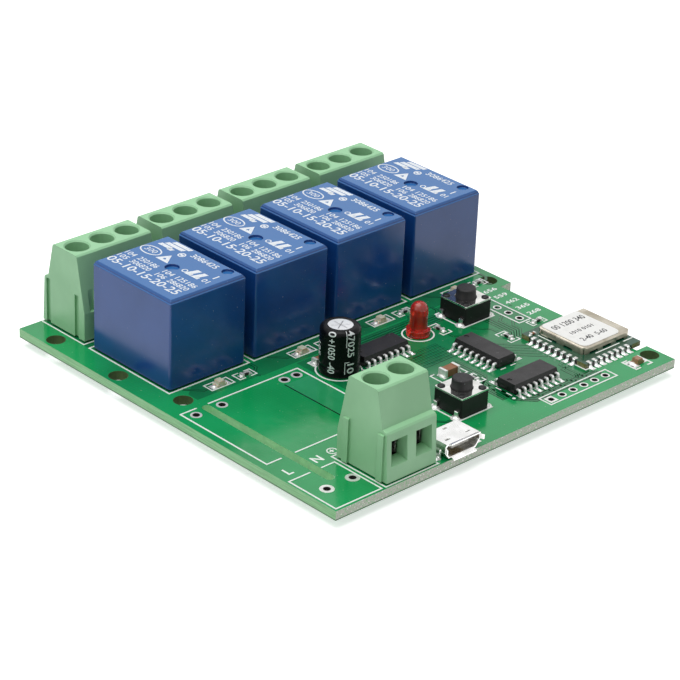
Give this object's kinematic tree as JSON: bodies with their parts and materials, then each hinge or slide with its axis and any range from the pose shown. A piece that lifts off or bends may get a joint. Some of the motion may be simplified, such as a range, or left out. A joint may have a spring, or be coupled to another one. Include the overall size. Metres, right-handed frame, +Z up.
{
  "type": "wireless relay switch board",
  "caption": "Circuit board with a row of blue power relays and green screw terminals, a shielded radio module, push buttons, indicator lamps and a micro-USB socket.",
  "frame": {"origin": "middle of the part's outline seen from above, level with the tips of the soldered pins that it stands on", "axes": "+Z up from the board, +Y towards the edge with the relay terminals, +X along the front edge towards the radio module"},
  "size_m": [0.075, 0.0754, 0.0187],
  "materials": {
    "board_laminate": "green solder mask on glass-fibre laminate",
    "radio_laminate": "dark green solder mask",
    "relay_case": "moulded blue plastic, glossy",
    "relay_base": "dark blue plastic",
    "terminal_plastic": "pale green moulded plastic, satin",
    "screw_steel": "plated steel",
    "clamp_steel": "plated steel sheet",
    "tinned_pins": "tin plated copper alloy",
    "can_aluminium": "drawn aluminium",
    "capacitor_sleeve": "black shrink sleeve",
    "bung_rubber": "black rubber",
    "red_lens": "red tinted clear epoxy",
    "switch_plastic": "black moulded plastic",
    "switch_cover": "thin bright sheet",
    "switch_button": "black moulded plastic",
    "chip_epoxy": "moulded epoxy, fine matt texture",
    "radio_shield": "nickel plated sheet",
    "usb_shell": "nickel plated sheet",
    "usb_insulator": "black moulded plastic",
    "usb_contacts": "gold plated",
    "indicator": "pale carrier with a clear lens",
    "resistor": "black glazed ceramic with tinned ends",
    "chip_capacitor": "brown ceramic with tinned ends",
    "solder": "solder"
  },
  "bodies": {
    "board": {"circuit_board": "board_laminate", "relay_case_1": "relay_case", "relay_case_2": "relay_case", "relay_case_3": "relay_case", "relay_case_4": "relay_case", "relay_base_1": "relay_base", "relay_base_2": "relay_base", "relay_base_3": "relay_base", "relay_base_4": "relay_base", "relay_pins_1": "tinned_pins", "relay_pins_2": "tinned_pins", "relay_pins_3": "tinned_pins", "relay_pins_4": "tinned_pins", "terminal_housing_1": "terminal_plastic", "terminal_housing_2": "terminal_plastic", "terminal_housing_3": "terminal_plastic", "terminal_housing_4": "terminal_plastic", "terminal_cages_1": "clamp_steel", "terminal_cages_2": "clamp_steel", "terminal_cages_3": "clamp_steel", "terminal_cages_4": "clamp_steel", "terminal_pins_1": "tinned_pins", "terminal_pins_2": "tinned_pins", "terminal_pins_3": "tinned_pins", "terminal_pins_4": "tinned_pins", "supply_terminal_housing": "terminal_plastic", "supply_terminal_cages": "clamp_steel", "supply_terminal_pins": "tinned_pins", "terminal_screws": "screw_steel", "capacitor_can": "can_aluminium", "capacitor_sleeve": "capacitor_sleeve", "capacitor_bung": "bung_rubber", "capacitor_leads": "tinned_pins", "led_lens": "red_lens", "led_leads": "tinned_pins", "switch_base_1": "switch_plastic", "switch_cover_1": "switch_cover", "switch_dome_1": "switch_cover", "switch_legs_1": "tinned_pins", "switch_base_2": "switch_plastic", "switch_cover_2": "switch_cover", "switch_dome_2": "switch_cover", "switch_legs_2": "tinned_pins", "ic_body_1": "chip_epoxy", "ic_body_2": "chip_epoxy", "ic_body_3": "chip_epoxy", "ic_leads": "tinned_pins", "radio_board": "radio_laminate", "radio_shield": "radio_shield", "radio_chips": "chip_epoxy", "usb_shell": "usb_shell", "usb_insulator": "usb_insulator", "usb_contacts": "usb_contacts", "indicator_leds": "indicator", "chip_resistors": "resistor", "chip_capacitors": "chip_capacitor", "solder_joints": "solder"},
    "button_1": {"switch_button_1": "switch_button"},
    "button_2": {"switch_button_2": "switch_button"}
  },
  "joints": [
    {"name": "press_1", "type": "slide", "parent": "board", "child": "button_1", "axis": [0, 0, -1], "range_m": [0, 0.00025], "stiffness_N_per_m": 6400, "deforming": ["switch_dome_1"]},
    {"name": "press_2", "type": "slide", "parent": "board", "child": "button_2", "axis": [0, 0, -1], "range_m": [0, 0.00025], "stiffness_N_per_m": 6400, "deforming": ["switch_dome_2"]}
  ]
}
